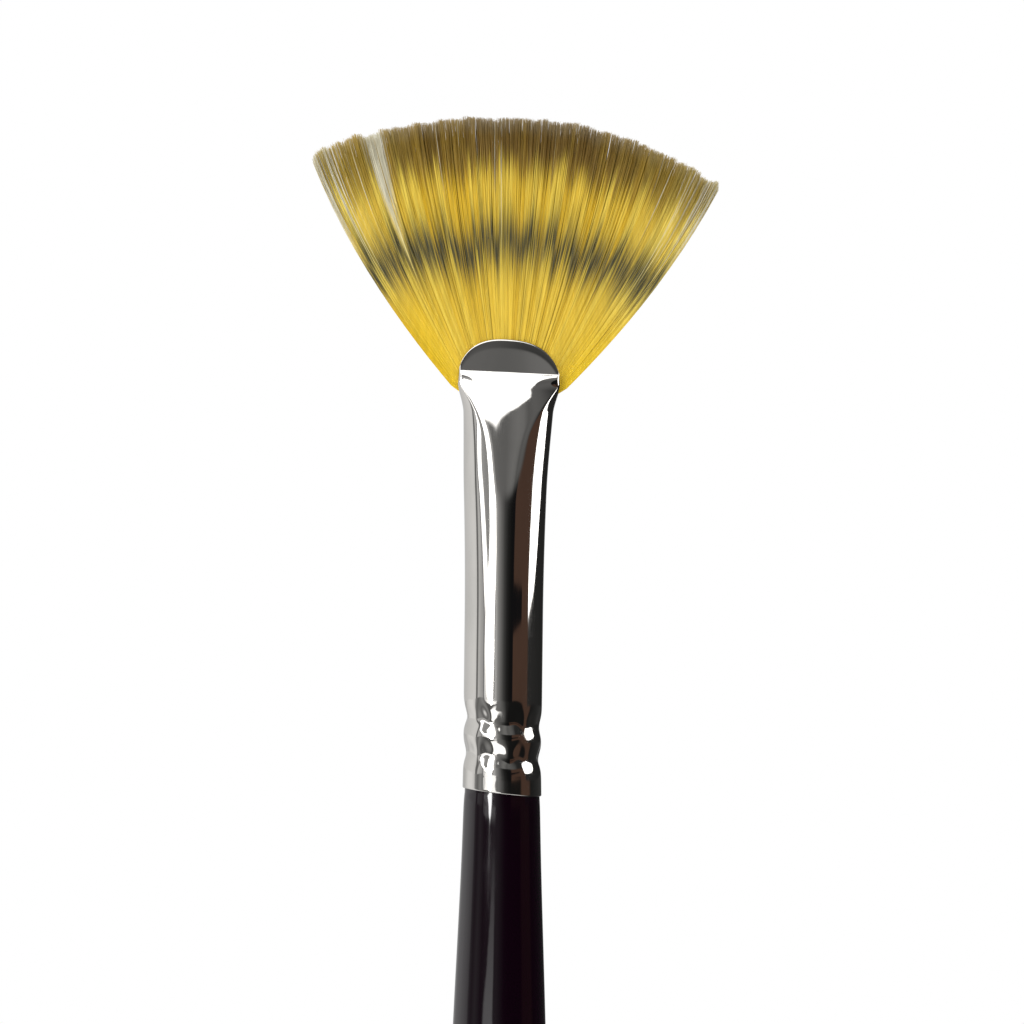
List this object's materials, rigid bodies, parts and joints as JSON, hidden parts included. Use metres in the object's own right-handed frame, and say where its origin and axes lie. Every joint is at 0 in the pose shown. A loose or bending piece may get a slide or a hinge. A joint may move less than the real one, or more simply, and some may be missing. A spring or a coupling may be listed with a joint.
{
  "type": "paint brush",
  "caption": "Artist's fan brush: banded hair spread in a flat fan, crimped nickel ferrule with an arched mouth, long slim dark lacquered handle.",
  "frame": {"origin": "the end of the tail, on the axis of the handle; the brush stands upright on it, hair up", "axes": "+Z along the handle from the tail to the hair, +X across the fan to the right as seen from its face, -Y out of the face"},
  "size_m": [0.0404, 0.0102, 0.3079],
  "materials": {
    "wood": "turned and sanded",
    "lacquer": "dark aubergine, clear high gloss",
    "adhesive": "cured resin",
    "plated_metal": "bright nickel plate on brass",
    "cement": "set brush cement",
    "hair": "satin filaments, golden with a dark band and brown tips"
  },
  "bodies": {
    "brush": {"handle_core": "wood", "handle_lacquer": "lacquer", "tenon_glue": "adhesive", "ferrule": "plated_metal", "root_plug": "cement", "bristle_root": "hair"},
    "bristles": {"lock_01": "hair", "lock_02": "hair", "lock_03": "hair", "lock_04": "hair", "lock_05": "hair", "lock_06": "hair", "lock_07": "hair", "lock_08": "hair", "lock_09": "hair", "lock_10": "hair", "lock_11": "hair", "lock_12": "hair", "lock_13": "hair", "lock_14": "hair", "lock_15": "hair", "lock_16": "hair", "lock_17": "hair", "lock_18": "hair"}
  },
  "joints": [
    {"name": "bristle_flex", "type": "hinge", "parent": "brush", "child": "bristles", "pos_m": [0, 0, 0.28652], "axis": [1, 0, 0], "range_deg": [-35, 35], "stiffness_Nm_per_rad": 0.008}
  ]
}
